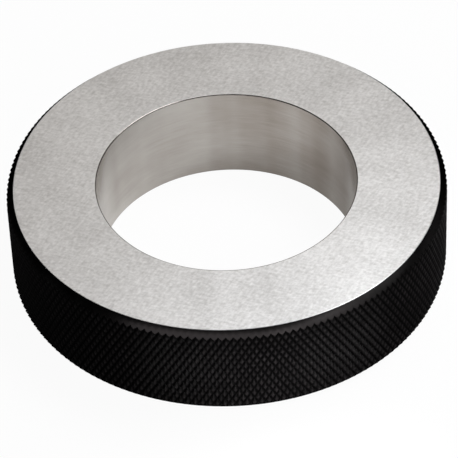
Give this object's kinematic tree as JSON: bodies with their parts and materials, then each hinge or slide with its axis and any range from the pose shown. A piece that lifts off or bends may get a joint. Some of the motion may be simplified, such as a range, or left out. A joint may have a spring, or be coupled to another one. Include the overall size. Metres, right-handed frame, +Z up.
{
  "type": "setting ring gauge",
  "caption": "Plain cylindrical setting ring: a lapped bore of known size in a steel ring with ground end faces and a black diamond-knurled grip.",
  "frame": {"origin": "centre of the bottom end face, on the axis of the bore", "axes": "+Z up along the axis of the bore, X and Y in the plane of the bottom end face"},
  "size_m": [0.0844, 0.0844, 0.02],
  "materials": {
    "gauge_steel": "ground end faces, lapped bore, black oxide on the knurled grip and its chamfers"
  },
  "bodies": {
    "root": {"setting_ring": "gauge_steel"}
  },
  "joints": []
}
